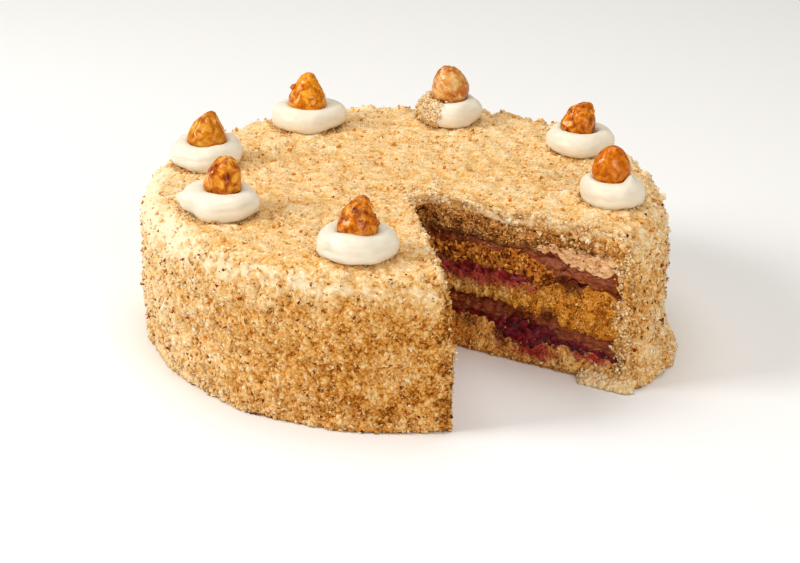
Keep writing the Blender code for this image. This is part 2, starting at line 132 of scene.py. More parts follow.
def cellsAt(points, size, seed):
    # 0 in the middle of each random cell, about 1 at its border
    near, second = noiseAt(points, size, seed, lambda place: noise.voronoi(place)[0][:2]).T
    return near / np.maximum(second, 0.0001)


def smoothStep(values, low, high):
    share = np.clip((values - low) / (high - low), 0.0, 1.0)
    return share * share * (3.0 - 2.0 * share)


def ramp(values, low, high):
    # 0 below the low length and 1 above the high one, both given in mm
    return smoothStep(values, low * mm, high * mm)


def fade(values, low, high):
    return 1.0 - ramp(values, low, high)


def bell(values, width):
    return np.exp(-(values / width) ** 2)


def radiusOf(points):
    return np.hypot(points[:, 0], points[:, 1])


def middleOf(points):
    return (points.max(axis=0) + points.min(axis=0)) / 2


def wayAt(azimuth):
    angle = math.radians(azimuth)
    return np.array((math.cos(angle), math.sin(angle), 0.0))


def alongAndOff(points, side):
    # distance along a cut from its tip, how far a point stands out of it into the gap, and that way
    along = wayAt(cuts[side])
    turn = 1.0 if side == "left" else -1.0
    across = turn * np.array((-along[1], along[0]))
    step = points[:, :2] - cutTip
    return step @ along[:2], step @ across, np.array((across[0], across[1], 0.0))


def keepShare(mesh, name, values):
    # stores one number for each vertex, which the materials read
    mesh.attributes.new(name, "FLOAT", "POINT").data.foreach_set("value", np.asarray(values, np.float32))


def linear(hexColour):
    values = [int(hexColour[start:start + 2], 16) / 255 for start in (1, 3, 5)]
    return tuple(v / 12.92 if v < 0.04045 else ((v + 0.055) / 1.055) ** 2.4 for v in values) + (1.0,)


def setUp(node, settings=None, links=None):
    # settings are sockets, colour stops or options; a link comes from a socket or a node's first output
    for name, value in (settings or {}).items():
        if name == "stops":
            elements = node.color_ramp.elements
            while len(elements) < len(value):
                elements.new(1.0)
            for element, (position, colour) in zip(elements, value):
                element.position = position
                element.color = linear(colour)
        elif isinstance(name, int) or name in node.inputs:
            node.inputs[name].default_value = value
        else:
            setattr(node, name, value)
    for name, origin in (links or {}).items():
        output = origin.outputs[0] if isinstance(origin, bpy.types.Node) else origin
        node.id_data.links.new(output, node.inputs[name])


def addNode(tree, kind, settings=None, links=None):
    node = tree.nodes.new("ShaderNode" + kind)
    setUp(node, settings, links)
    return node


def newMaterial(name):
    material = bpy.data.materials.new(name)
    material.use_nodes = True
    place = addNode(material.node_tree, "TexCoord").outputs["Object"]
    return material, material.node_tree, place


def finishMaterial(material, colour, height, bump, sockets):
    # every material ends in a colour, a fine relief and plain values on the shader's own sockets
    relief = addNode(material.node_tree, "Bump", bump, {"Height": height})
    shader = material.node_tree.nodes["Principled BSDF"]
    setUp(shader, sockets, {"Base Color": colour, "Normal": relief})
    return material


def crumbFinish(name, look):
    # Ground roasted hazelnuts and dry cake crumbs: matt, each crumb with its own shade. The cells are
    # the single grains, about a millimetre, with painted shade darkening the gaps between them.
    material, tree, place = newMaterial(name)
    speckle = look.get("speckle", 0.25)
    shade = addNode(tree, "Attribute", {"attribute_name": "shade"}).outputs["Fac"]
    bend = addNode(tree, "TexNoise", {"Scale": 1 / (1.2 * mm), "Detail": 1.0}, {"Vector": place})
    bent = addNode(tree, "VectorMath", {"operation": "MULTIPLY_ADD", 1: (1.0 * mm,) * 3},
                   {0: bend.outputs["Color"], 2: place})
    grain = addNode(tree, "TexVoronoi", {"Scale": 1 / (0.9 * mm)}, {"Vector": bent})
    mixed = addNode(tree, "Math", {"operation": "MULTIPLY_ADD", 1: speckle},
                    {0: grain.outputs["Color"], 2: shade})
    # painted shade: the colour darkens towards each grain's border, where shadow falls between the grains
    gap = addNode(tree, "MapRange", {"From Min": 0.35, "From Max": 0.8, "To Min": 0.5 * speckle,
                                     "To Max": 0.5 * speckle + look.get("gap", 0.1)}, {"Value": grain})
    level = addNode(tree, "Math", {"operation": "SUBTRACT"}, {0: mixed, 1: gap})
    colour = addNode(tree, "ValToRGB", {"stops": look["stops"]}, {"Fac": level})
    if "cream" in look:
        bare = addNode(tree, "Attribute", {"attribute_name": "bare"}).outputs["Fac"]
        colour = addNode(tree, "Mix", {"data_type": "RGBA", 7: linear(look["cream"])},
                         {0: bare, 6: colour}).outputs[2]
    bump = {"Strength": look.get("bump", 0.4), "Distance": 0.3 * mm, "invert": True}
    return finishMaterial(material, colour, grain, bump, {
        "Roughness": look.get("roughness", 0.75), "IOR": 1.45, "Specular IOR Level": 0.12})


def spongeFinish(name, look):
    # Baked sponge with open pores. It is browner at its crusts, and jam and chocolate cream have
    # soaked in where the attributes say so, with torn edges.
    material, tree, place = newMaterial(name)
    shade = addNode(tree, "Attribute", {"attribute_name": "shade"}).outputs["Fac"]
    speckle, ragged, pores = [
        addNode(tree, "TexNoise", {"Scale": 1 / (size * mm), "Detail": detail, "Roughness": 0.7},
                {"Vector": place}) for size, detail in ((0.8, 3.0), (1.8, 4.0), (0.6, 3.0))]
    mixed = addNode(tree, "Math", {"operation": "MULTIPLY_ADD", 1: 1.3, 2: -0.65}, {0: speckle})
    level = addNode(tree, "Math", {"operation": "ADD"}, {0: mixed, 1: shade})
    colour = addNode(tree, "ValToRGB", {"stops": look["stops"]}, {"Fac": level})
    torn = addNode(tree, "Math", {"operation": "MULTIPLY_ADD", 1: 0.9, 2: -0.45}, {0: ragged})
    for maskName, stain in (("crust", look["crust"]), ("jamStain", look["jamStain"]), ("cocoa", "#6a3016")):
        mask = addNode(tree, "Attribute", {"attribute_name": maskName}).outputs["Fac"]
        edge = addNode(tree, "Math", {"operation": "ADD"}, {0: mask, 1: torn})
        share = addNode(tree, "MapRange", {"From Min": 0.25, "From Max": 0.75, "To Max": 0.9},
                        {"Value": edge})
        colour = addNode(tree, "Mix", {"data_type": "RGBA", 7: linear(stain)},
                         {0: share, 6: colour}).outputs[2]
    return finishMaterial(material, colour, pores, {"Strength": 0.7, "Distance": 0.4 * mm}, {
        "Roughness": 0.8, "Specular IOR Level": 0.15, "Subsurface Weight": 0.15,
        "Subsurface Radius": (1.0, 0.5, 0.2), "Subsurface Scale": 1.2 * mm})


def creamFinish(name, look):
    # Butter cream: fine and satin, with soft streaks where the knife dragged it.
    material, tree, place = newMaterial(name)
    drag = addNode(tree, "Mapping", {"Scale": (1.0, 1.0, 4.0)}, {"Vector": place})
    streak = addNode(tree, "TexNoise", {"Scale": 1 / (look["patch"] * mm), "Detail": 3.0, "Roughness": 0.6},
                     {"Vector": drag})
    colour = addNode(tree, "ValToRGB", {"stops": look["stops"]}, {"Fac": streak})
    fine = addNode(tree, "TexNoise", {"Scale": 1 / (1.2 * mm), "Detail": 2.0}, {"Vector": drag})
    return finishMaterial(material, colour, fine, {"Strength": look["bump"], "Distance": 0.2 * mm}, {
        "Roughness": look["roughness"], "IOR": 1.46, "Subsurface Weight": look["glow"],
        "Subsurface Radius": look["reach"], "Subsurface Scale": 2.0 * mm})


def jamFinish(name, look):
    # Berry jam: dark, wet and glossy, redder where it lies thin.
    material, tree, place = newMaterial(name)
    shade = addNode(tree, "TexNoise", {"Scale": 1 / (3.5 * mm), "Detail": 3.0}, {"Vector": place})
    colour = addNode(tree, "ValToRGB", {"stops": look["stops"]}, {"Fac": shade})
    lumps = addNode(tree, "TexNoise", {"Scale": 1 / (1.6 * mm), "Detail": 1.0}, {"Vector": place})
    return finishMaterial(material, colour, lumps, {"Strength": 0.4, "Distance": 0.4 * mm}, {
        "Roughness": 0.28, "IOR": 1.42, "Coat Weight": 0.15, "Coat Roughness": 0.08,
        "Subsurface Weight": 0.25, "Subsurface Radius": (1.0, 0.15, 0.1), "Subsurface Scale": 1.5 * mm})


def caramelFinish(name, look):
    # Roasted hazelnut in hard caramel: amber and glassy, darker where the sugar pools.
    material, tree, place = newMaterial(name)
    shade = addNode(tree, "TexNoise", {"Scale": 1 / (look["patch"] * mm), "Detail": 3.5,
                                       "Roughness": 0.6, "Distortion": 0.6}, {"Vector": place})
    colour = addNode(tree, "ValToRGB", {"stops": look["stops"]}, {"Fac": shade})
    if "sugar" in look:
        frost = addNode(tree, "TexNoise", {"Scale": 1 / (3.0 * mm), "Detail": 4.0, "Roughness": 0.75},
                        {"Vector": place})
        dry = addNode(tree, "MapRange", {"From Min": 0.52, "From Max": 0.62, "To Max": look["sugar"]},
                      {"Value": frost})
        colour = addNode(tree, "Mix", {"data_type": "RGBA", 7: linear("#e8cfae")},
                         {0: dry, 6: colour}).outputs[2]
    wrinkles = addNode(tree, "TexNoise", {"Scale": 1 / (0.9 * mm), "Detail": 2.0}, {"Vector": place})
    return finishMaterial(material, colour, wrinkles, {"Strength": look["bump"], "Distance": 0.3 * mm}, {
        "Roughness": look["roughness"], "IOR": 1.5, "Specular IOR Level": 0.2, "Coat Weight": 0.22,
        "Coat Roughness": 0.06, "Subsurface Weight": 0.3, "Subsurface Radius": (1.0, 0.4, 0.1),
        "Subsurface Scale": 2.0 * mm})


crumbStops = [(0.0, "#8a5018"), (0.2, "#c88a3a"), (0.42, "#e0b06c"), (0.64, "#eacb9a"), (0.88, "#f4e2c2")]
materials = {
    "coat": crumbFinish("groundHazelnutCoat", {
        "stops": crumbStops, "bump": 0.6, "speckle": 0.4, "gap": 0.15, "cream": "#f8e6c4"}),
    "golden": crumbFinish("goldenCakeCrumbs", {"stops": crumbStops}),
    "pale": crumbFinish("paleNutCrumbs", {"stops": [(0.1, "#e8bf88"), (0.5, "#f2d6a6"), (0.9, "#f9e8c6")]}),
    "roasted": crumbFinish("roastedNutPieces", {
        "stops": [(0.1, "#a04c0e"), (0.5, "#d88628"), (0.9, "#ecac50")], "roughness": 0.5}),
    "skin": crumbFinish("hazelnutSkin", {
        "stops": [(0.1, "#4c1c1e"), (0.5, "#702824"), (0.9, "#a0522e")], "roughness": 0.45}),
    "whippedCream": creamFinish("whippedCream", {
        "patch": 6.0, "stops": [(0.3, "#e3d8c4"), (0.7, "#eae2d0")], "bump": 0.06, "roughness": 0.45,
        "glow": 0.9, "reach": (2.4, 2.0, 1.5)}),
    "chocolateCream": creamFinish("chocolateButterCream", {
        "patch": 3.5, "stops": [(0.3, "#6c3012"), (0.55, "#964e28"), (0.8, "#b87044")], "bump": 0.9,
        "roughness": 0.5, "glow": 0.1, "reach": (1.0, 0.5, 0.3)}),
    "nutCream": creamFinish("nutButterCream", {
        "patch": 3.0, "stops": [(0.3, "#d69c68"), (0.7, "#efc89a")], "bump": 0.8, "roughness": 0.6,
        "glow": 0.15, "reach": (1.0, 0.6, 0.4)}),
    "jam": jamFinish("berryJam", {"stops": [(0.35, "#4e0c16"), (0.55, "#7a1826"), (0.75, "#a83a40")]}),
    "redJam": jamFinish("redBerryJam", {"stops": [(0.3, "#661420"), (0.5, "#9a3038"), (0.7, "#c86458")]}),
}
spongeLooks = {
    "sponge_base": {"stops": [(0.0, "#a85e20"), (0.25, "#de9640"), (0.5, "#f8bc68"), (0.75, "#ffdc9a")],
                    "crust": "#a8621e", "jamStain": "#a8282e"},
    "sponge_thick": {"stops": [(0.15, "#9a5618"), (0.4, "#d08a2c"), (0.65, "#eeb256"), (0.9, "#fcdc94")],
                     "crust": "#b0641e", "jamStain": "#b44642"},
    "sponge_soaked": {"stops": [(0.1, "#6e2c0c"), (0.35, "#b4621e"), (0.6, "#dc8c36"), (0.85, "#f4b660")],
                      "crust": "#803a10", "jamStain": "#901e2a"},
    "sponge_top": {"stops": [(0.1, "#703a18"), (0.35, "#b47636"), (0.6, "#dca05a"), (0.85, "#f4cc90")],
                   "crust": "#7a4820", "jamStain": "#9c4036"},
}
print("materials made")


def makeStage():
    # each lamp has its power, its width and its place
    look = {"elevation": 21.3, "distance": 1.1, "target": (-0.0026, 0.0, 0.0202), "lens": 115.2,
            "floor": "#f4f2ef", "skyColour": "#fffdf8", "sky": 0.22,
            "lamps": {"keyLight": (11.0, 0.6, (-1.1, -0.15, 0.8)), "topLight": (6.8, 1.0, (0.0, 0.25, 1.3)),
                      "fillLight": (6.6, 0.8, (0.53, -1.1, 0.55))}}
    lift = math.radians(look["elevation"])
    camera = newObject("camera", bpy.data.cameras.new("camera"))
    camera.data.lens = look["lens"]
    camera.data.sensor_width = 36.0
    back = Vector((0.0, -math.cos(lift), math.sin(lift))) * look["distance"]
    camera.location = Vector(look["target"]) + back
    camera.rotation_euler = (math.pi / 2 - lift, 0.0, 0.0)
    bpy.context.scene.camera = camera

    bpy.ops.mesh.primitive_plane_add(size=6.0, location=(0.0, 0.0, -0.0002))
    floor = bpy.context.object
    floor.name = "floor"
    paper = bpy.data.materials.new("palePaper")
    paper.use_nodes = True
    setUp(paper.node_tree.nodes["Principled BSDF"], {"Base Color": linear(look["floor"]), "Roughness": 0.9})
    floor.data.materials.append(paper)

    for name, (energy, size, place) in look["lamps"].items():
        lamp = newObject(name, bpy.data.lights.new(name, "AREA"))
        lamp.data.energy = energy
        lamp.data.size = size
        lamp.location = place
        lamp.rotation_euler = (Vector((0.0, 0.0, 0.03)) - Vector(place)).to_track_quat("-Z", "Y").to_euler()
    world = bpy.data.worlds.new("studio")
    world.use_nodes = True
    setUp(world.node_tree.nodes["Background"], {"Color": linear(look["skyColour"]), "Strength": look["sky"]})
    bpy.context.scene.world = world
    bpy.context.scene.view_settings.view_transform = "Standard"
    bpy.context.scene.view_settings.look = "Medium High Contrast"


makeStage()
print("camera, light and floor made")

layerLooks = {
    # finish, cuts per CAD face, how far the face stands out, relief height and size in mm, and how much
    # paler it is painted at its inner and its outer end (darker below 0): painted light and shade
    "sponge_base": {"finish": "sponge", "cuts": 13, "out": 0.3, "relief": 1.0, "grain": 1.6,
                    "paintedLightInner": -0.15, "far": 0.12},
    "jam_lower": {"finish": "jam", "cuts": 11, "out": -0.1, "relief": 0.9, "grain": 4.0},
    "choc_cream_lower": {"finish": "chocolateCream", "cuts": 11, "out": -0.3, "relief": 1.4, "grain": 5.0},
    "sponge_thick": {"finish": "sponge", "cuts": 14, "out": 0.3, "relief": 1.0, "grain": 1.6,
                     "paintedLightInner": 0.35, "far": -0.05},
    "jam_upper": {"finish": "redJam", "cuts": 11, "out": -0.1, "relief": 0.8, "grain": 4.0},
    "sponge_soaked": {"finish": "sponge", "cuts": 12, "out": 0.3, "relief": 1.6, "grain": 2.3, "paintedLightInner": 0.2},
    "choc_cream_upper": {"finish": "chocolateCream", "cuts": 11, "out": -0.3, "relief": 1.4, "grain": 5.0},
    "nut_cream": {"finish": "nutCream", "cuts": 11, "out": 0.1, "relief": 1.3, "grain": 1.7},
    "sponge_top": {"finish": "sponge", "cuts": 12, "out": -0.2, "relief": 1.0, "grain": 1.6},
}
# Bends of the layers, height and size, and how they overlap, sink in where thin and reach outwards, in mm
cutLook = {"bends": ((1.4, 7.0), (1.6, 2.4)), "overlap": 0.6, "film": 1.5, "filmIn": 1.6,
           "outerReach": 2.6, "outerIn": 0.35, "leftIn": 0.8, "cornerIn": 2.4}
# Where fillings have soaked in: along the cut, height, half width, half height in mm, and strength
soaked = {
    "jamStain": [(34, 35.0, 28, 4.8, 1.1), (60, 33, 4, 3.6, 0.7), (62, 6.5, 12, 4.5, 0.9),
                 (88, 9, 16, 3, 0.8), (45, 8, 5, 5, 0.6), (104, 11, 8, 2, 0.7)],
    "cocoa": [(79, 42, 9, 7, 1.1), (46, 9.5, 6, 5, 0.7), (68, 24.5, 5, 2.8, 0.9), (104, 39, 7, 4, 0.8),
              (30, 13, 9, 3, 0.6), (48, 44, 8, 3, 0.5)],
}
# Hollows that the knife left: the same, with the depth in mm at the end
hollows = {
    "choc_cream_upper": [(34, 50.5, 26, 1.6, 2.6), (99, 38.5, 6, 1.8, 2.4), (66, 48.0, 9, 1.4, 2.4)],
    "sponge_soaked": [(24, 47.5, 12, 1.5, 2.2)],
    "choc_cream_lower": [(34, 24.0, 22, 1.4, 2.4), (52, 19.5, 7, 2.2, 2.4)],
}


def cutBack(along, heights, side):
    # the left cut lies a little behind its line, most at its rounded outer top corner, not at its foot there
    if side == "right":
        return np.zeros(len(along))
    outer = ramp(along, 76, 100)
    corner = cutLook["cornerIn"] * ramp(heights, 54, 66)
    back = cutLook["leftIn"] * ramp(along, -2, 6) * (1.0 - 1.6 * outer * fade(heights, 48, 60))
    return back + corner * outer


def cutFaces(mesh):
    # which faces of a layer lie in one of the two cuts
    centres = readNumbers(mesh.polygons, "center").astype(float)
    normals = readNumbers(mesh.polygons, "normal").astype(float)
    chosen = np.zeros(len(centres), bool)
    for side in cuts:
        along, off, across = alongAndOff(centres, side)
        chosen |= (along > 0) & (np.abs(off) < cutThickness) & (normals @ across > 0.4)
    return chosen


def blobShare(along, heights, blobs):
    # how strongly a place on a cut lies in any of the soft oval blobs
    share = np.zeros(len(along))
    for middle, height, halfWidth, halfHeight, strength in blobs:
        away = np.hypot((along / mm - middle) / halfWidth, (heights / mm - height) / halfHeight)
        share = np.maximum(share, strength * bell(away, 1.0))
    return share


def layerSpan(along, heights):
    # the layer's lowest and highest point, every 2 mm along the cut
    steps = np.round(along / (2 * mm)).astype(int)
    found = np.unique(steps)
    low = np.array([heights[steps == step].min() for step in found])
    high = np.array([heights[steps == step].max() for step in found])
    return np.interp(along, found * 2 * mm, low), np.interp(along, found * 2 * mm, high)


def layerRelief(here, look):
    # open pores in a sponge, smears in a cream or jam
    grain = look["grain"] * mm
    if look["finish"] == "sponge":
        pits = 1.0 - smoothStep(cellsAt(here, grain, 1.0), 0.15, 0.8)
        return 0.6 * noiseAt(here, grain * 1.6, 5.0) + 0.4 * noiseAt(here, grain * 0.55, 6.0) - 0.7 * pits
    drag = here * np.array((1.0, 1.0, 2.5))
    return 0.7 * noiseAt(drag, grain, 5.0) + 0.35 * noiseAt(drag, grain * 0.35, 6.0)


def makeLayer(nodeName, look):
    piece = copyOfNode(nodeName, nodeName + "_cut")
    mesh = piece.data
    editFaces(piece, cutFaces(mesh))
    bpy.ops.mesh.subdivide(number_cuts=look["cuts"])
    bpy.ops.mesh.select_all(action="SELECT")
    bpy.ops.mesh.quads_convert_to_tris()
    leaveEdit()
    points = readPoints(mesh)
    normals = readNormals(mesh)
    moved = points.copy()
    masks = {name: np.zeros(len(points)) for name in ("crust", "jamStain", "cocoa")}
    shade = np.full(len(points), 0.5)
    for side in cuts:
        along, off, across = alongAndOff(points, side)
        near = (along > -1 * mm) & (np.abs(off) < cutThickness)
        along, here = along[near], points[near]
        heights = here[:, 2]
        low, high = layerSpan(along, heights)
        level = (heights - low) / (high - low)
        facing = np.clip(normals[near] @ across, 0.0, 1.0)
        relief = layerRelief(here, look)
        out = look["out"] + look["relief"] * relief - cutBack(along, heights, side)
        if side == "right":
            out -= cutLook["outerIn"] * ramp(along, 98.5, 101.8)
        for hollow in hollows.get(nodeName, ()):
            out -= blobShare(along, heights, [hollow])
        thin = fade(high - low, 0.9, cutLook["film"])
        out -= cutLook["filmIn"] * thin
        shift = (out * facing * mm)[:, None] * across
        stretch = cutLook["overlap"] * mm * (2.0 * level - 1.0) * (1.0 - thin)
        if nodeName == "sponge_base":
            stretch *= level
        shift[:, 2] += stretch
        if side == "right":
            # the layers reach almost to the outside of the coat here
            length = np.array((-across[1], across[0], 0.0))
            shift += (cutLook["outerReach"] * mm * ramp(along, 86, 101))[:, None] * length
        edge = ramp(heights, 0, 4) * ramp(61 * mm - heights, 0, 3)
        for number, (height, size) in enumerate(cutLook["bends"]):
            bend = [noiseAt(here, size * mm, 3.0 + number + 10.0 * axis) for axis in range(3)]
            bend = height * mm * np.stack(bend, axis=1)
            bend[:, :2] *= 0.4
            shift += bend * edge[:, None]
        moved[near] += shift
        # painted light and shade: paler or darker towards the inner end of the cut and towards its outer end
        paintedLightInner = fade(along, 15, 80)
        # painted shade: the hollows of the relief, the sponge's pores among them, are painted darker
        shade[near] = 0.5 + 0.22 * noiseAt(here, 5 * mm, 8.0) + 0.2 * relief + look.get("paintedLightInner", 0.0) * paintedLightInner
        shade[near] += look.get("far", 0.0) * (1.0 - paintedLightInner)
        for name, blobs in soaked.items():
            masks[name][near] = blobShare(along, heights, blobs)
        masks["crust"][near] = 0.6 * fade(heights - low, 0.5, 3) + 0.35 * fade(high - heights, 0.3, 2)
    writePoints(mesh, moved)
    keepShare(mesh, "shade", shade)
    bpy.ops.object.shade_smooth()
    if look["finish"] == "sponge":
        for name, values in masks.items():
            keepShare(mesh, name, values)
        materials[nodeName] = spongeFinish(nodeName + "Sponge", spongeLooks[nodeName])
        mesh.materials.append(materials[nodeName])
    else:
        mesh.materials.append(materials[look["finish"]])
    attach(piece, "root")
    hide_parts(nodeName)
    return piece


layers = {nodeName: makeLayer(nodeName, look) for nodeName, look in layerLooks.items()}
print("cut layers made:", sum(len(piece.data.polygons) for piece in layers.values()), "faces")

# Voxels, height and size of the relief's waves and grains, heaps along the rim, how far the foot is drawn
# in between two heights, and how far the torn edge lies behind each cut and hangs over it, in mm.
# hiddenFaces is the share of the hidden faces that stays.
coatLook = {"voxel": 1.02, "hiddenFaces": 0.06, "grains": (1.1, 2.4),
            "waves": {"lumps": (0.9, 12.0), "clumps": (1.5, 4.6), "fine": (0.4, 1.2)},
            "rimHeap": 1.7, "footIn": ((3.5, 2, 9), (1.2, 10, 34)), "cutIn": {"left": 1.2, "right": 0.5},
            "lip": (0.5, 1.4)}


def coatOutside(points, normals):
    # 1 on the outer skin and the cut edge of the coat, 0 on the wall that lies on the layers
    radius = radiusOf(points)
    outward = points[:, :2] / np.maximum(radius, 0.001)[:, None]
    facing = (normals[:, :2] * outward).sum(1)
    wall = (radius > 0.1) & (facing < -0.3)
    ceiling = (normals[:, 2] < -0.3) & (points[:, 2] > 50 * mm)
    return ~(wall | ceiling)


def makeCoat():
    piece = copyOfNode("nut_coat", "crumb_coat")
    applyModifier(piece, "REMESH", mode="VOXEL", voxel_size=coatLook["voxel"] * mm)
    mesh = piece.data
    # the faces that lie on the layers are made few
    outside = coatOutside(readPoints(mesh), readNormals(mesh))
    corners = readNumbers(mesh.loops, "vertex_index", 1, np.int32)
    starts = readNumbers(mesh.polygons, "loop_start", 1, np.int32)
    editFaces(piece, ~np.logical_or.reduceat(outside[corners], starts))
    bpy.ops.mesh.decimate(ratio=coatLook["hiddenFaces"])
    leaveEdit()

    points = readPoints(mesh)
    normals = readNormals(mesh)
    heights = points[:, 2]
    radius = radiusOf(points)
    outside = coatOutside(points, normals)
    onSide = ramp(radius, 98, 108)
    bare = bareAt(points)
    share = outside * ramp(heights, 0, 1.5)
    share *= 0.75 + 0.25 * onSide
    share *= 1.0 - 0.35 * bare
    waves = {key: height * noiseAt(points, size * mm, 11.0 + number)
             for number, (key, (height, size)) in enumerate(coatLook["waves"].items())}
    height, size = coatLook["grains"]
    grains = height * (0.5 - cellsAt(points, size * mm, 12.5))
    waves["fine"] *= 0.5 + 0.5 * onSide
    grains *= 0.6 + 0.4 * onSide
    relief = share * (sum(waves.values()) + grains)
    rim = bell(radius - 104 * mm, 6 * mm) * ramp(heights, 58, 62)
    heaps = smoothStep(noiseAt(points, 8 * mm, 35.0), 0.0, 0.4)
    relief += coatLook["rimHeap"] * rim * ramp(points[:, 1], -20, 40) * heaps
    # the foot is drawn in on the left
    pull = sum(depth * fade(heights, low, high) for depth, low, high in coatLook["footIn"])
    pull *= ramp(-points[:, 0], 55, 100)
    outward = points * np.array((1.0, 1.0, 0.0)) / radius[:, None]
    pull *= outside
    moved = points + (normals * relief[:, None] - outward * pull[:, None]) * mm
    # the torn edge lies a little behind the cuts
    for side, further in coatLook["cutIn"].items():
        along, off, across = alongAndOff(points, side)
        back = cutBack(along, heights, side) + further * ramp(heights, 52, 58) * fade(along, 75, 98)
        back *= ramp(off, -7, -0.5) * (off < 2 * mm) * (along > -2 * mm)
        moved -= (back * mm)[:, None] * across
    # beside the right cut the coat's inner edge hangs over the layers in places
    along, off, across = alongAndOff(points, "right")
    ragged = noiseAt(points, 5 * mm, 36.0)
    lip = ramp(off, -2.2, -0.6) * (off < 2 * mm) * (along > 50 * mm) * (radius > 106 * mm)
    least, varied = coatLook["lip"]
    moved += (lip * (least + varied * ragged) * mm)[:, None] * across
    inward = lip * ramp(111 * mm - radius, 0, 2.5) * (1.0 + 3.0 * ragged)
    moved -= outward * (inward * mm)[:, None]
    writePoints(mesh, moved)
    # painted shade: the hollows of the relief, between clumps and grains, are painted darker
    shade = coatToneAndPaintedLight(points) - 0.3 * cutSkinAndPaintedLight(points) + share * (0.16 - 0.05 * onSide) * waves["clumps"]
    keepShare(mesh, "shade", shade + share * (0.25 + 0.15 * onSide) * (waves["fine"] + grains))
    keepShare(mesh, "bare", bare)
    bpy.ops.object.shade_smooth()
    mesh.materials.append(materials["coat"])
    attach(piece, "root")
    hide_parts("nut_coat")
    return piece


def cutSkinAndPaintedLight(points):
    # the coat's own cut face below its top edge, as brown as the sponge under it, and painted paler along its
    # top edge as painted light on that shaded face
    share = np.zeros(len(points))
    for side in cuts:
        along, off, _ = alongAndOff(points, side)
        share = np.maximum(share, (along > 0) * ramp(off, -4, -1.5) * (off < 2 * mm))
    # painted light: above about 62 mm the value falls below 0, so the coat is painted paler there
    return share * (ramp(63 * mm - points[:, 2], 0, 3) - 0.25) * (points[:, 2] > 50 * mm)


bareLook = {"shoulder": 0.62, "right": -0.3, "farLeft": 0.4, "most": 0.8,
            "cutEdge": [(48, 61, 9, 2.2, 1.0), (84, 58.5, 4.5, 3.0, 1.0)]}


def bareAt(points):
    # where the cream shows between the crumbs: in patches on the shoulder, least on the right, thinly
    # all over the far left, which also paints light onto that lit side, and at two places on the cut edge
    outer = ramp(radiusOf(points), 98, 106)
    shoulder = bareLook["shoulder"] + bareLook["right"] * ramp(points[:, 0], -30, 20)
    lean = shoulder * outer * bell(points[:, 2] - 60 * mm, 7 * mm)
    # partly painted light: the paler far left stands in for the light that falls on that side
    lean += bareLook["farLeft"] * outer * ramp(-points[:, 0], 70, 105)
    patches = 0.5 * noiseAt(points, 10 * mm, 31.0) + 0.4 * noiseAt(points, 3 * mm, 32.0)
    bare = bareLook["most"] * smoothStep(patches + lean, 0.4, 0.95)
    along, off, _ = alongAndOff(points, "right")
    edge = blobShare(along, points[:, 2], bareLook["cutEdge"])
    return np.maximum(bare, edge * (np.abs(off) < 2.5 * mm))


# How much paler the coat is in places, some of it painted light and shade
toneLook = {"all": 0.63, "shoulder": 0.06, "rightFoot": 0.13, "right": 0.13, "back": 0.05, "left": 0.08,
            "frontPatches": 0.16, "lowFront": -0.19}


def coatToneAndPaintedLight(points):
    # how pale the coat is: patchy all over, palest on the shoulder, darker low on the front; partly painted
    # light and shade
    x, y, z = points.T
    outer = ramp(radiusOf(points), 97, 106)
    front = ramp(x, -95, -10) * ramp(-y, 0, 50)
    tone = toneLook["all"] + 0.08 * noiseAt(points, 17 * mm, 21.0) + 0.07 * noiseAt(points, 6 * mm, 22.0)
    # partly painted highlight: the shoulder is paler where the light falls on it, most on the left
    tone += toneLook["shoulder"] * outer * bell(z - 58 * mm, 7 * mm) * (1.0 - 0.7 * ramp(x, -20, 40))
    # painted light: the right foot and the right side lie in shade and are painted paler
    tone += toneLook["rightFoot"] * ramp(x, 45, 80) * fade(z, 5, 30)
    tone += toneLook["right"] * outer * ramp(x, 75, 105) + toneLook["back"] * ramp(y, 20, 90)
    # painted light: the lit left side is painted paler
    tone += toneLook["left"] * ramp(-x, 60, 100)
    tone += toneLook["frontPatches"] * outer * front * noiseAt(points, 9 * mm, 23.0)
    # partly painted shade: darker low on the front, which faces away from the lamps, besides its deeper
    # golden colour
    return tone + toneLook["lowFront"] * outer * front * ramp(60 * mm - z, 0, 17)


coat = makeCoat()
print("coat made:", len(coat.data.polygons), "faces")


def makeCrumbShape(name, seed, stretch, facets=0):
    # one crumb, 2 units across: an eight-sided splinter or small ball pushed out of shape, kept as a pattern
    if facets:
        bpy.ops.mesh.primitive_ico_sphere_add(subdivisions=facets, radius=1.0, scale=(1, 1, 1))
    else:
        bpy.ops.mesh.primitive_cone_add(vertices=4, radius1=1.0, depth=1.0, end_fill_type="TRIFAN")
    crumb = bpy.context.object
    crumb.name = name
    if not facets:
        # the middle of the cone's foot is pulled down to a second point
        for vertex in crumb.data.vertices:
            vertex.select = vertex.co.z < 0 and vertex.co.xy.length < 0.1
        bpy.context.tool_settings.mesh_select_mode = (True, False, False)
        bpy.ops.object.mode_set(mode="EDIT")
        bpy.ops.transform.translate(value=(0.0, 0.0, -0.8))
        leaveEdit()
    editAll(crumb)
    bpy.ops.transform.vertex_random(offset=0.42, uniform=0.5, normal=0.2, seed=seed)
    bpy.ops.transform.resize(value=stretch)
    leaveEdit()
    points = readPoints(crumb.data)
    faces = np.array([face.vertices[:] for face in crumb.data.polygons])
    bpy.data.objects.remove(crumb, do_unlink=True)
    return points, faces


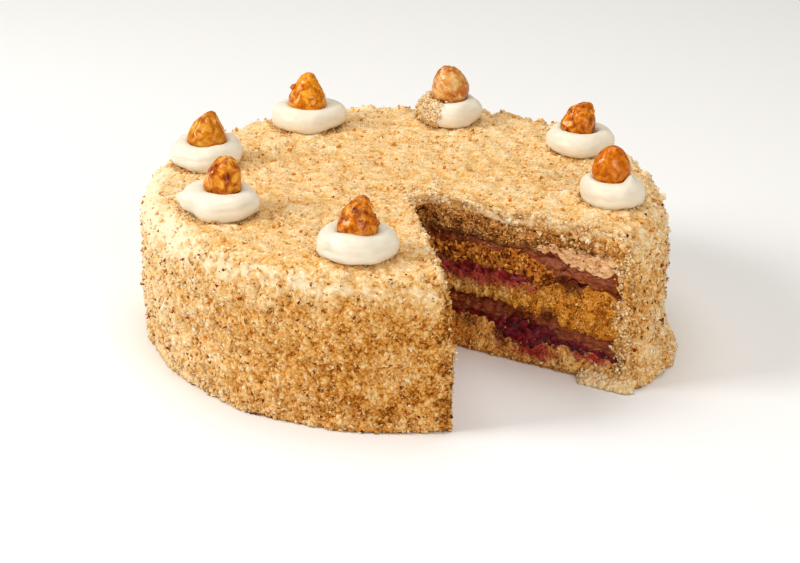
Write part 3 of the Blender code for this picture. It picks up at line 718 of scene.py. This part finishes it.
def surfaceSpots(piece, count, weigh, seed):
    # random places on a piece's skin, spread by area and by a weight at each place, with the way out
    # and the skin's own shares there
    mesh = piece.data
    mesh.calc_loop_triangles()
    corners = readNumbers(mesh.loop_triangles, "vertices", 3, np.int32)
    triangles = readPoints(mesh)[corners]
    cross = np.cross(triangles[:, 1] - triangles[:, 0], triangles[:, 2] - triangles[:, 0])
    area = np.linalg.norm(cross, axis=1)
    normals = cross / np.maximum(area, 1e-12)[:, None]
    chance = area * weigh(triangles.mean(axis=1), normals)
    draw = np.random.default_rng(seed)
    picked = draw.choice(len(chance), count, p=chance / chance.sum())
    first, second = draw.random((2, count, 1))
    flip = first + second > 1.0
    first = np.where(flip, 1.0 - first, first)
    second = np.where(flip, 1.0 - second, second)
    chosen = triangles[picked]
    places = chosen[:, 0] + first * (chosen[:, 1] - chosen[:, 0]) + second * (chosen[:, 2] - chosen[:, 0])
    shares = {}
    for attribute in mesh.attributes:
        if attribute.data_type == "FLOAT" and attribute.domain == "POINT":
            values = readNumbers(attribute.data, "value", 1)
            shares[attribute.name] = values[corners].mean(axis=1)[picked]
    return places, normals[picked], shares


def joinSpots(groups):
    return np.concatenate([group[0] for group in groups]), np.concatenate([group[1] for group in groups]), {}


def turnedAxes(outward, tilt, draw):
    # three axes for each place, its third near the outward direction, turned about it at random
    third = outward + tilt * draw.normal(size=outward.shape)
    third /= np.linalg.norm(third, axis=1)[:, None]
    first = np.cross(third, draw.normal(size=outward.shape))
    first /= np.maximum(np.linalg.norm(first, axis=1), 1e-9)[:, None]
    return np.stack((first, np.cross(third, first), third), axis=1)


def scatter(name, shapes, spots, look, seed):
    # joins a sized and turned copy of one of the shapes at every place into one piece. Sizes in mm; rise is
    # in half sizes; shade, if given, goes before the skin's own; lift and mixed make crumbs paler and varied
    places, outward, shares = spots
    draw = np.random.default_rng(seed)
    low, high = look["size"]
    sizes = (low + (high - low) * draw.random(len(places)) ** look.get("few", 2.0)) * mm * 0.5
    onTop = smoothStep(outward[:, 2], 0.3, 0.9)
    sizes *= 1.0 - look.get("topLess", 0.0) * onTop
    rises = sizes * (look.get("rise", 0.2) - 0.2 * onTop)
    axes = turnedAxes(outward, look.get("tilt", 1.0), draw)
    kinds = draw.integers(0, len(shapes), len(places))
    mixed = look.get("mixed", 0.52) * (1.0 - 0.76 * onTop)
    shade = look["shade"] if "shade" in look else shares["shade"]
    shares["shade"] = shade + look.get("lift", 0.05) + mixed * draw.normal(size=len(places))
    allPoints = []
    allFaces = []
    order = []
    start = 0
    for kind, (shape, faces) in enumerate(shapes):
        mine = np.flatnonzero(kinds == kind)
        turned = np.einsum("kc,ncd->nkd", shape, axes[mine]) * sizes[mine][:, None, None]
        turned += (places[mine] + outward[mine] * rises[mine][:, None])[:, None, :]
        firsts = start + np.arange(len(mine)) * len(shape)
        allPoints.append(turned.reshape(-1, 3))
        allFaces.append((faces[None, :, :] + firsts[:, None, None]).reshape(-1, faces.shape[1]))
        order.append(np.repeat(mine, len(shape)))
        start += len(mine) * len(shape)
    points = np.concatenate(allPoints)
    points[:, 2] = np.maximum(points[:, 2], 0.05 * mm)
    faces = np.concatenate(allFaces)
    mesh = bpy.data.meshes.new(name)
    mesh.vertices.add(len(points))
    mesh.loops.add(faces.size)
    mesh.polygons.add(len(faces))
    mesh.vertices.foreach_set("co", points.astype(np.float32).ravel())
    mesh.loops.foreach_set("vertex_index", faces.astype(np.int32).ravel())
    mesh.polygons.foreach_set("loop_start", np.arange(len(faces), dtype=np.int32) * faces.shape[1])
    mesh.update(calc_edges=True)
    mesh.validate()
    for shareName, values in shares.items():
        keepShare(mesh, shareName, values[np.concatenate(order)])
    piece = newObject(name, mesh)
    if look.get("smooth"):
        selectOnly(piece)
        bpy.ops.object.shade_smooth()
    mesh.materials.append(materials[look.get("finish", "golden")])
    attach(piece, "root")
    return piece


crumbShapes = [makeCrumbShape("crumbPattern", seed, (1.1, 0.85, 0.7)) for seed in range(1, 9)]
flakeShapes = [makeCrumbShape("flakePattern", seed, (1.0, 0.75, 0.34)) for seed in range(6, 11)]
lumpShapes = [makeCrumbShape("lumpPattern", seed, (1.0, 0.85, 0.65), 1) for seed in range(10, 14)]
berryShapes = [makeCrumbShape("berryPattern", seed, (1.0, 0.9, 0.8), 2) for seed in range(14, 16)]
dollopPlaces = [((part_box("dollop_%d" % n)[0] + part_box("dollop_%d" % n)[1]) / 2)[:2] for n in range(1, 8)]


def coatWeight(places, normals):
    # crumbs cover the coat's outside, but not what the dollops hide
    share = coatOutside(places, normals) * 1.0
    for middle in dollopPlaces:
        away = np.hypot(places[:, 0] - middle[0], places[:, 1] - middle[1])
        hiddenByCream = (away < 13 * mm) & (places[:, 2] > 55 * mm)
        share *= ~hiddenByCream
    return share * (places[:, 2] > 0.5 * mm) * (1.0 - 0.8 * bareAt(places))


def sideWeight(places, normals):
    # mostly on the side, some on the top
    return coatWeight(places, normals) * (0.3 + 0.7 * ramp(radiusOf(places), 98, 107))


def flakeWeight(places, normals):
    # bits of dark skin lie together in places
    return sideWeight(places, normals) * (0.25 + 1.9 * smoothStep(noiseAt(places, 6 * mm, 34.0), 0.05, 0.4))


def cutEdgeWeight(places, normals):
    # the coat's torn edge along both cuts
    share = np.zeros(len(places))
    for side in cuts:
        along, off, _ = alongAndOff(places, side)
        share = np.maximum(share, ramp(along, -4, 2) * bell(off + 1.5 * mm, 2.4 * mm))
    return share * coatWeight(places, normals)


def paleWeight(places, normals):
    # few of the palest crumbs lie on the torn edge
    return coatWeight(places, normals) * (1.0 - 0.8 * smoothStep(cutEdgeWeight(places, normals), 0.2, 0.7))


def footWeight(places, normals):
    return coatWeight(places, normals) * fade(places[:, 2], 1, 12)


crumbLooks = {
    "crumbs_golden": {"count": 24500, "size": (0.7, 2.2), "rise": 0.0, "few": 1.5,
                      "topLess": 0.2, "weigh": coatWeight},
    "crumbs_pale": {"finish": "pale", "count": 13000, "size": (0.6, 1.9), "rise": 0.1, "topLess": 0.2,
                    "weigh": paleWeight},
    "crumbs_coarse": {"count": 2200, "size": (1.2, 3.4), "rise": -0.1, "few": 2.3,
                      "mixed": 0.1, "lift": 0.07, "shapes": lumpShapes, "weigh": sideWeight},
    "crumbs_roasted": {"finish": "roasted", "count": 12000, "size": (0.5, 2.3), "rise": 0.25, "few": 2.2,
                       "mixed": 0.25, "weigh": coatWeight},
    "skin_flakes": {"finish": "skin", "count": 6000, "size": (0.5, 4.2), "rise": 0.45, "few": 2.2,
                    "topLess": 0.25, "tilt": 0.25, "mixed": 0.25, "shapes": flakeShapes,
                    "weigh": flakeWeight},
    "crumbs_edge": {"count": 7000, "size": (0.6, 2.0), "rise": 0.1, "lift": -0.08,
                    "mixed": 0.13, "weigh": cutEdgeWeight},
    "crumbs_foot": {"count": 2000, "size": (1.0, 2.6), "rise": 0.2, "few": 2.2,
                    "mixed": 0.1, "shapes": lumpShapes, "weigh": footWeight},
}
for number, (name, look) in enumerate(crumbLooks.items()):
    spots = surfaceSpots(coat, look["count"], look["weigh"], 40 + number)
    scatter(name, look.get("shapes", crumbShapes), spots, look, 60 + number)


def cutWeight(places, normals):
    share = np.zeros(len(places))
    for side in cuts:
        along, off, across = alongAndOff(places, side)
        share = np.maximum(share, (along > 2 * mm) & (np.abs(off) < 3.5 * mm) & (normals @ across > 0.2))
    return share


def spillWeight(places, normals):
    # coat crumbs that hang over the cut along its top, its outer end and its foot
    along = alongAndOff(places, "right")[0]
    heights = places[:, 2]
    ragged = 4 * mm * noiseAt(places, 6 * mm, 33.0)
    share = 0.000001 + ramp(along + ragged, 99, 104)
    share += ramp(along, 88, 98) * fade(heights, 3, 9)
    share += 0.5 * ramp(along, 40, 60) * ramp(heights + 0.4 * ragged, 57, 61)
    return cutWeight(places, normals) * (share + 0.25 * fade(heights, 0.5, 2.5))


# Crumbs that the knife left on each layer, and the sponge they come from where it is another one
cutCrumbLooks = {
    "base_crumbs": {"layer": "sponge_base", "count": 5500, "size": (0.5, 1.8)},
    "thick_crumbs": {"layer": "sponge_thick", "count": 7000, "size": (0.4, 1.6)},
    "soaked_crumbs": {"layer": "sponge_soaked", "count": 4500, "size": (0.6, 2.4)},
    "top_crumbs": {"layer": "sponge_top", "count": 5500, "size": (0.5, 1.8)},
    "crumbs_on_upper_cream": {"layer": "choc_cream_upper", "sponge": "sponge_soaked", "count": 260,
                              "size": (0.6, 2.2)},
    "crumbs_on_lower_cream": {"layer": "choc_cream_lower", "sponge": "sponge_soaked", "count": 260,
                              "size": (0.6, 2.2)},
    "crumbs_on_lower_jam": {"layer": "jam_lower", "sponge": "sponge_base", "count": 80, "size": (0.6, 2.0)},
    "crumbs_on_upper_jam": {"layer": "jam_upper", "sponge": "sponge_soaked", "count": 70, "size": (0.6, 2.0)},
    "crumbs_on_nut_cream": {"layer": "nut_cream", "sponge": "sponge_top", "count": 260, "size": (0.5, 1.8)},
}
for number, (name, look) in enumerate(cutCrumbLooks.items()):
    sponge = look.get("sponge", look["layer"])
    look.update({"finish": sponge, "slot": sponge, "rise": 0.3})
    spots = surfaceSpots(layers[look["layer"]], look["count"], cutWeight, 80 + number)
    scatter(name, crumbShapes, spots, look, 90 + number)


def cutPlace(spots):
    # places on the right cut from distance along it and height in mm, with the way out of the cake
    spots = np.array(spots, float) * mm
    places = spots[:, :1] * wayAt(cuts["right"])
    across = alongAndOff(places, "right")[2]
    places[:, :2] += cutTip
    places[:, 2] = spots[:, 1]
    return places, np.tile(across, (len(spots), 1)), {}


# Along the right cut and height, in mm
berrySpots = [(56, 8.5), (66, 8.0), (61, 10.5), (72, 10.5), (49, 12.0), (84, 11.0), (50, 36.5), (54, 35.5),
              (33, 37.0)]
speckSpots = [(46, 61.8), (49, 61.2), (52, 61.0), (83, 59.8), (86, 59.4), (0, 64.4)]
spillLook = {"size": (0.9, 2.8), "rise": 0.2, "mixed": 0.2,
             "shade": 0.5, "count": 700}
berryLook = {"finish": "jam", "slot": "jam_lower", "size": (3.0, 5.0), "few": 1.0, "rise": -0.5,
             "shade": 0.5, "smooth": True}
fallenLook = {"size": (0.9, 3.8), "rise": 0.3, "mixed": 0.12,
              "shade": 0.68, "count": 900, "reach": 6.5, "height": 3.2}
speckLook = {"finish": "pale", "size": (2.0, 3.2), "few": 1.0, "rise": -0.4,
             "shade": 0.9, "smooth": True}
spillLayers = ("sponge_base", "choc_cream_lower", "sponge_thick", "choc_cream_upper", "sponge_top")
spilled = [surfaceSpots(layers[layerName], spillLook["count"], spillWeight, 130 + number)
           for number, layerName in enumerate(spillLayers)]
draw = np.random.default_rng(141)
count = spillLook["count"]
spilled.append(cutPlace(np.stack((draw.normal(104.0, 1.1, count), draw.uniform(1.0, 60.0, count)), axis=1)))
scatter("crumbs_spilled", crumbShapes[:4] + lumpShapes[:2], joinSpots(spilled), spillLook, 140)
scatter("berries", berryShapes, cutPlace(berrySpots), berryLook, 101)
# the heap at the foot of the right corner, lower the further out it lies
count = fallenLook["count"]
places, outward, _ = cutPlace(np.stack((draw.triangular(84, 104, 110, count), np.zeros(count)), axis=1))
reach = draw.random(count) ** 1.6
places += outward * (fallenLook["reach"] * mm * reach)[:, None]
places[:, 2] += (0.4 + fallenLook["height"] * (1.0 - reach) * draw.random(count)) * mm
outward = np.tile((0.0, 0.0, 1.0), (count, 1))
scatter("crumbs_fallen", lumpShapes, (places, outward, {}), fallenLook, 142)
scatter("cream_specks", berryShapes, cutPlace(speckSpots), speckLook, 102)
print("crumbs scattered")

# Pushes on a dollop or nut: azimuth, distance from its middle, height, then how far out and up
# the cream or nut is moved there, and over what width, all in mm
creamLooks = {
    1: {"pushes": [(200, 15, 5, 1.0, 0.5, 6), (300, 12, 8, -0.8, 0.6, 4), (30, 11, 9, 0.4, 1.0, 5)]},
    2: {"pushes": [(181, 16.5, 6, 2.4, 1.0, 1.8), (218, 15, 4, -1.8, -0.2, 5), (300, 15, 4, 1.4, 0.2, 6),
                   (340, 15, 5, 1.8, 0.3, 6), (250, 9, 10, 0.2, 0.8, 4)]},
    3: {"pushes": [(180, 16, 5, -1.6, 0.2, 6), (222, 16, 5, -1.8, -0.2, 3.0), (280, 16, 4, 0.8, 0.2, 8),
                   (250, 10, 9.5, 0.6, 1.1, 6), (350, 15, 6, 0.2, 0.6, 6)], "fold": (235, 50, 4.5)},
    4: {"pushes": [(352, 16, 6, 0.6, 0.5, 5), (250, 15, 5, 0.8, 0.6, 7)]},
    5: {"pushes": [(340, 13, 5, 1.6, 0.8, 6), (270, 12, 6, 0.6, 0.8, 6)]},
    6: {"pushes": [(180, 14, 5, 0.8, 0.4, 7), (340, 13, 5, 1.2, 0.6, 6)]},
    7: {"pushes": [(322, 8.5, 9.5, 0.6, 3.6, 2.0), (190, 13, 5, -1.4, 0.4, 6), (280, 13, 5, 0.7, 0.5, 6),
                   (300, 12, 6.5, -0.8, 0.2, 2.0)], "fold": (255, 60, 4.6)},
}
lowFront = (270, 14, 2, 2.4, -0.3, 9)
nutLooks = {
    # how much it narrows upwards, lumps, wrinkles and ribs in mm, finish, pushes
    1: {"cone": 0.55, "lumps": 0.4, "wrinkles": 0.12, "ribs": 0.3, "finish": "goldenAmber",
        "pushes": [(246, 7.5, 10, -1.8, 0, 1.5), (20, 1, 17, 1.8, 1.0, 5), (300, 6, 6, 0.9, 0, 4)]},
    2: {"cone": 0.1, "lumps": 0.6, "wrinkles": 0.25, "ribs": 0.25, "finish": "burntAmber",
        "pushes": [(200, 7, 5, 0.8, 0, 3), (40, 6, 14, 0.6, 0.6, 3)]},
    3: {"cone": 0.45, "lumps": 0.5, "wrinkles": 0.3, "ribs": 0.05, "finish": "darkAmber",
        "pushes": [(270, 0, 9, 1.6, -0.8, 60), (10, 1, 17, 1.8, 0.6, 4), (220, 7, 6, 0.8, 0, 4)]},
    4: {"cone": 0.6, "lumps": 0.3, "wrinkles": 0.25, "ribs": 0.0, "finish": "clearAmber",
        "pushes": [(300, 7, 5, 1.0, 0, 4), (220, 7, 5, 0.8, 0, 4), (10, 1, 17, 1.0, 0.4, 4)]},
    5: {"cone": 0.1, "lumps": 0.4, "wrinkles": 0.25, "ribs": 0.1, "finish": "sugarAmber",
        "pushes": [(20, 7, 9, 0.8, 0.4, 5), (230, 7, 8, 0.8, 0, 4), (310, 4, 17, -0.4, -1.0, 1.6)]},
    6: {"cone": 0.2, "lumps": 0.7, "wrinkles": 0.2, "ribs": 0.1, "finish": "darkAmber",
        "pushes": [(190, 8, 7, 1.2, -0.6, 3), (10, 4, 15, 2.2, 0.8, 4), (205, 6, 13, -1.4, -1.0, 3)]},
    7: {"cone": 0.02, "lumps": 0.12, "wrinkles": 0.1, "ribs": 0.04, "finish": "redAmber",
        "pushes": [(270, 0, 9, 0.4, 0, 60), (315, 8, 2.5, -1.2, 0, 1.6)]},
}
# Drops of hard caramel on the nuts: nut, azimuth, height as a share of the nut's, size in mm, finish
caramelDrops = [
    (4, 186, 0.66, 3.0, "redAmber"), (2, 318, 0.32, 3.6, "goldenAmber"), (2, 60, 0.8, 3.0, "darkAmber"),
    (3, 350, 0.78, 2.6, "darkAmber"), (3, 335, 0.6, 3.0, "darkAmber"), (3, 345, 0.42, 2.8, "darkAmber"),
    (3, 325, 0.25, 3.0, "goldenAmber"), (6, 340, 0.75, 2.8, "clearAmber"), (6, 215, 0.3, 3.0, "darkAmber"),
]


def pushBy(points, middle, pushes):
    for azimuth, distance, height, outward, upward, width in pushes:
        way = wayAt(azimuth)
        centre = middle + way * distance * mm + np.array((0.0, 0.0, height * mm))
        share = bell(np.linalg.norm(points - centre, axis=1), width * mm)
        points = points + share[:, None] * (way * outward + np.array((0.0, 0.0, upward))) * mm
    return points


def footMiddle(nodeName):
    low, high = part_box(nodeName)
    return np.array(((low[0] + high[0]) / 2, (low[1] + high[1]) / 2, low[2]))


def roundOff(piece, voxel, passes):
    # the solid's flat faces are subdivided into round ones, at the same width, and meshed evenly
    editAll(piece)
    bpy.ops.mesh.tris_convert_to_quads(face_threshold=0.9, shape_threshold=0.9)
    leaveEdit()
    before = readPoints(piece.data)
    applyModifier(piece, "SUBSURF", levels=3, render_levels=3)
    applyModifier(piece, "REMESH", mode="VOXEL", voxel_size=voxel * mm)
    applyModifier(piece, "SMOOTH", factor=0.5, iterations=passes)
    points = readPoints(piece.data)
    widen = np.ptp(before, axis=0) / np.ptp(points, axis=0)
    writePoints(piece.data, middleOf(before) + (points - middleOf(points)) * widen)


def makeDollop(number, look):
    nodeName = "dollop_%d" % number
    piece = copyOfNode(nodeName, "cream_%d" % number)
    roundOff(piece, 0.85, 10)
    mesh = piece.data
    middle = footMiddle(nodeName)
    points = pushBy(readPoints(mesh), middle, look["pushes"] + [lowFront])
    relief = 0.6 * noiseAt(points, 10 * mm, 40.0 + number) + 0.14 * noiseAt(points, 2.5 * mm, 50.0 + number)
    # a fold where the bag was turned: round the side, rising and fading out to its ends
    azimuth, reach, height = look.get("fold", (200 + 45 * number, 40, 5.5))
    step = points - middle
    turned = (np.degrees(np.arctan2(step[:, 1], step[:, 0])) - azimuth + 180.0) % 360.0 - 180.0
    relief -= 0.55 * bell(turned, reach) * bell(step[:, 2] - (height + 0.02 * turned) * mm, 0.8 * mm)
    writePoints(mesh, points + readNormals(mesh) * (relief * mm)[:, None])
    applyModifier(piece, "SUBSURF", levels=1, render_levels=1)
    bpy.ops.object.shade_smooth()
    mesh.materials.append(materials["whippedCream"])
    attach(piece, "root")
    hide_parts(nodeName)
    return piece


def makeNut(number, look):
    nodeName = "hazelnut_%d" % number
    piece = copyOfNode(nodeName, "caramel_nut_%d" % number)
    roundOff(piece, 0.5, 10)
    mesh = piece.data
    middle = footMiddle(nodeName)
    points = readPoints(mesh)
    height = (points[:, 2] - middle[2]) / np.ptp(points[:, 2])
    narrower = 1.0 + look["cone"] * (0.35 - height)
    points[:, :2] = middle[:2] + (points[:, :2] - middle[:2]) * narrower[:, None]
    points = pushBy(points, middle, look["pushes"])
    step = points - middle
    ribs = np.cos(np.arctan2(step[:, 1], step[:, 0]) * 7.0 + number + step[:, 2] / (8 * mm))
    relief = look["lumps"] * noiseAt(points, 4.5 * mm, 20.0 + number) + look["ribs"] * ribs
    relief += look["wrinkles"] * noiseAt(points, 1.5 * mm, 30.0 + number)
    writePoints(mesh, points + readNormals(mesh) * (relief * mm)[:, None])
    bpy.ops.object.shade_smooth()
    mesh.materials.append(materials[look["finish"]])
    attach(piece, "root")
    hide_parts(nodeName)
    return piece


def makeDrops(nuts):
    # each drop sits on the outermost point of its nut near the given azimuth and height
    for count, (number, azimuth, share, size, finish) in enumerate(caramelDrops):
        points = readPoints(nuts[number - 1].data)
        way = wayAt(azimuth)
        step = points - middleOf(points)
        heights = points[:, 2] - points[:, 2].min()
        beside = np.array((-way[1], way[0], 0.0))
        away = np.abs(heights - share * np.ptp(points[:, 2])) + np.abs(step @ beside)
        place = points[np.argmax(step @ way - 3.0 * away)]
        look = {"finish": finish, "slot": "caramel_hazelnut", "size": (size, size), "rise": 0.0, "shade": 0.5,
                "smooth": True}
        scatter("caramel_drop_%d" % (count + 1), berryShapes, (place[None], way[None], {}), look, 150 + count)


amberLooks = {
    "goldenAmber": {"patch": 4.0, "bump": 0.25, "roughness": 0.28,
                    "stops": [(0.3, "#9c500c"), (0.5, "#d0861e"), (0.7, "#eab85e")]},
    "clearAmber": {"patch": 2.2, "bump": 0.35, "roughness": 0.28,
                   "stops": [(0.3, "#a8540a"), (0.5, "#dc8c16"), (0.7, "#f2b64c")]},
    "darkAmber": {"patch": 3.0, "bump": 0.35, "roughness": 0.22,
                  "stops": [(0.32, "#7e3408"), (0.5, "#c87214"), (0.68, "#eca848")]},
    "burntAmber": {"patch": 4.5, "bump": 0.35, "roughness": 0.22,
                   "stops": [(0.35, "#8c3a08"), (0.5, "#ce7c1a"), (0.65, "#efb250")]},
    "redAmber": {"patch": 3.0, "bump": 0.12, "roughness": 0.18,
                 "stops": [(0.3, "#93420a"), (0.5, "#cc7214"), (0.7, "#e49a34")]},
    "sugarAmber": {"patch": 6.0, "bump": 0.5, "roughness": 0.35, "sugar": 0.7,
                   "stops": [(0.3, "#a85418"), (0.5, "#cc8430"), (0.7, "#e8c078")]},
}
for name, look in amberLooks.items():
    materials[name] = caramelFinish(name + "Caramel", look)
creams = [makeDollop(number, look) for number, look in creamLooks.items()]
makeDrops([makeNut(number, look) for number, look in nutLooks.items()])


def ringWeight(places, normals):
    # the coat round the foot of every dollop, where it has pushed the crumbs up
    share = np.zeros(len(places))
    for number in creamLooks:
        low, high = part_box("dollop_%d" % number)
        step = (places - (np.array(low) + high) / 2) / ((np.array(high) - low) / 2)
        share = np.maximum(share, bell(radiusOf(step) - 0.98, 0.09))
    return share * (places[:, 2] > 60 * mm) * (normals[:, 2] > 0.3)


def buriedWeight(places, normals):
    # one side of the dollop under crumbs
    middle = middleOf(places)
    ragged = 3 * mm * noiseAt(places, 5 * mm, 37.0) - 0.3 * (places[:, 2] - middle[2])
    return fade(places[:, 0] - middle[0] + ragged, -8, -4)


ringLook = {"size": (0.8, 2.4), "rise": 0.5, "mixed": 0.1,
            "shades": (0.5, 0.68), "counts": (3600, 1800)}
buriedLook = {"size": (2.0, 3.8), "rise": -0.2, "mixed": 0.06,
              "shade": 0.7, "count": 420}
buriedSpots = surfaceSpots(creams[4], buriedLook["count"], buriedWeight, 120)
scatter("crumbs_buried", lumpShapes, buriedSpots, buriedLook, 122)
coatCount, creamCount = ringLook["counts"]
rings = [surfaceSpots(coat, coatCount, ringWeight, 110),
         surfaceSpots(creams[4], creamCount, buriedWeight, 123)]
places, outward, shares = joinSpots(rings)
shares["shade"] = np.repeat(ringLook["shades"], [len(ring[0]) for ring in rings])
scatter("crumbs_ring", crumbShapes, (places, outward, shares), ringLook, 121)
print("dollops and nuts made")
